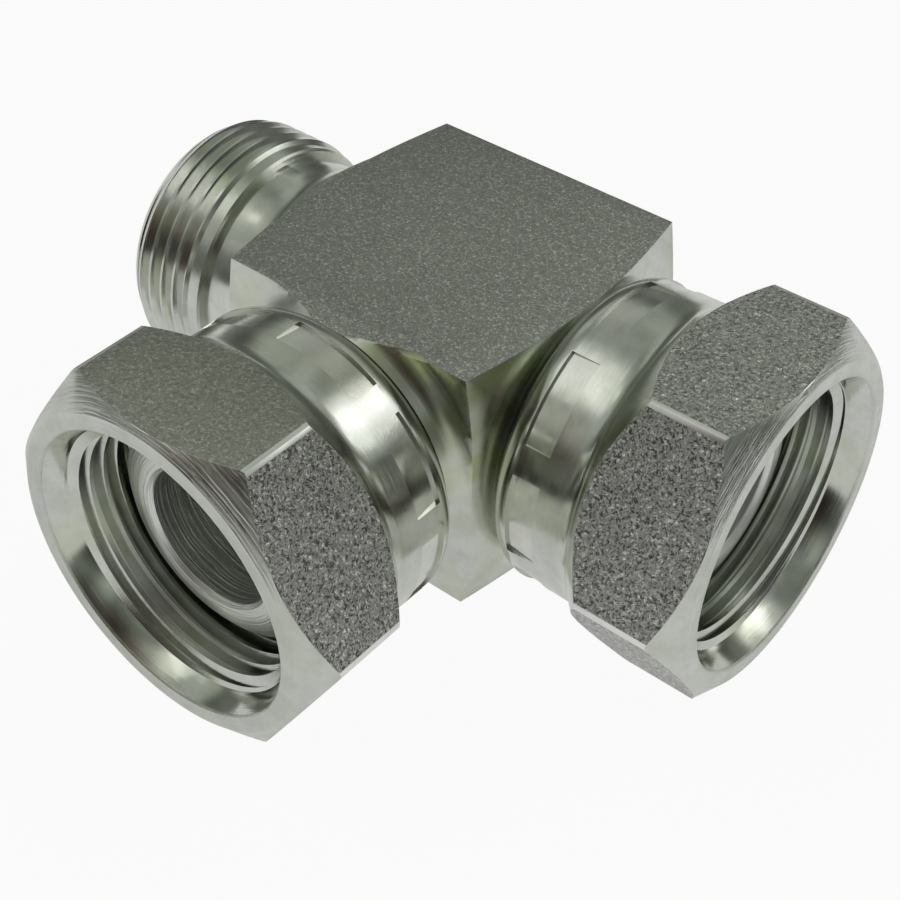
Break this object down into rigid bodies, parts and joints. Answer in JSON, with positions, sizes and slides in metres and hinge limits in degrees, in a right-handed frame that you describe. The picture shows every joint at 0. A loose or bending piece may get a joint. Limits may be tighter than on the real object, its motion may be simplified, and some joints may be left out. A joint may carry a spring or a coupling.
{
  "type": "hydraulic tee fitting",
  "caption": "Steel hydraulic tee: a square block with a male threaded stub on the run, a crimped swivel hex nut opposite it and another on the branch.",
  "frame": {"origin": "crossing of the run and branch passages, at the middle of the block", "axes": "+X along the run towards its swivel nut, -Y towards the branch nut, +Z square to both passages"},
  "size_m": [0.0869, 0.0728, 0.0422],
  "materials": {
    "body_steel": "zinc plated, machined and blasted",
    "nut_steel": "zinc plated, forged flats with a turned skirt"
  },
  "bodies": {
    "tee": {"tee_body": "body_steel"},
    "branch_swivel": {"branch_nut": "nut_steel"},
    "run_swivel": {"run_nut": "nut_steel"}
  },
  "joints": [
    {"name": "branch_nut_swivel", "type": "hinge", "parent": "tee", "child": "branch_swivel", "pos_m": [0, -0.035, 0], "axis": [0, -1, 0], "continuous": true},
    {"name": "run_nut_swivel", "type": "hinge", "parent": "tee", "child": "run_swivel", "pos_m": [0.0327, 0, 0], "axis": [1, 0, 0], "continuous": true}
  ]
}
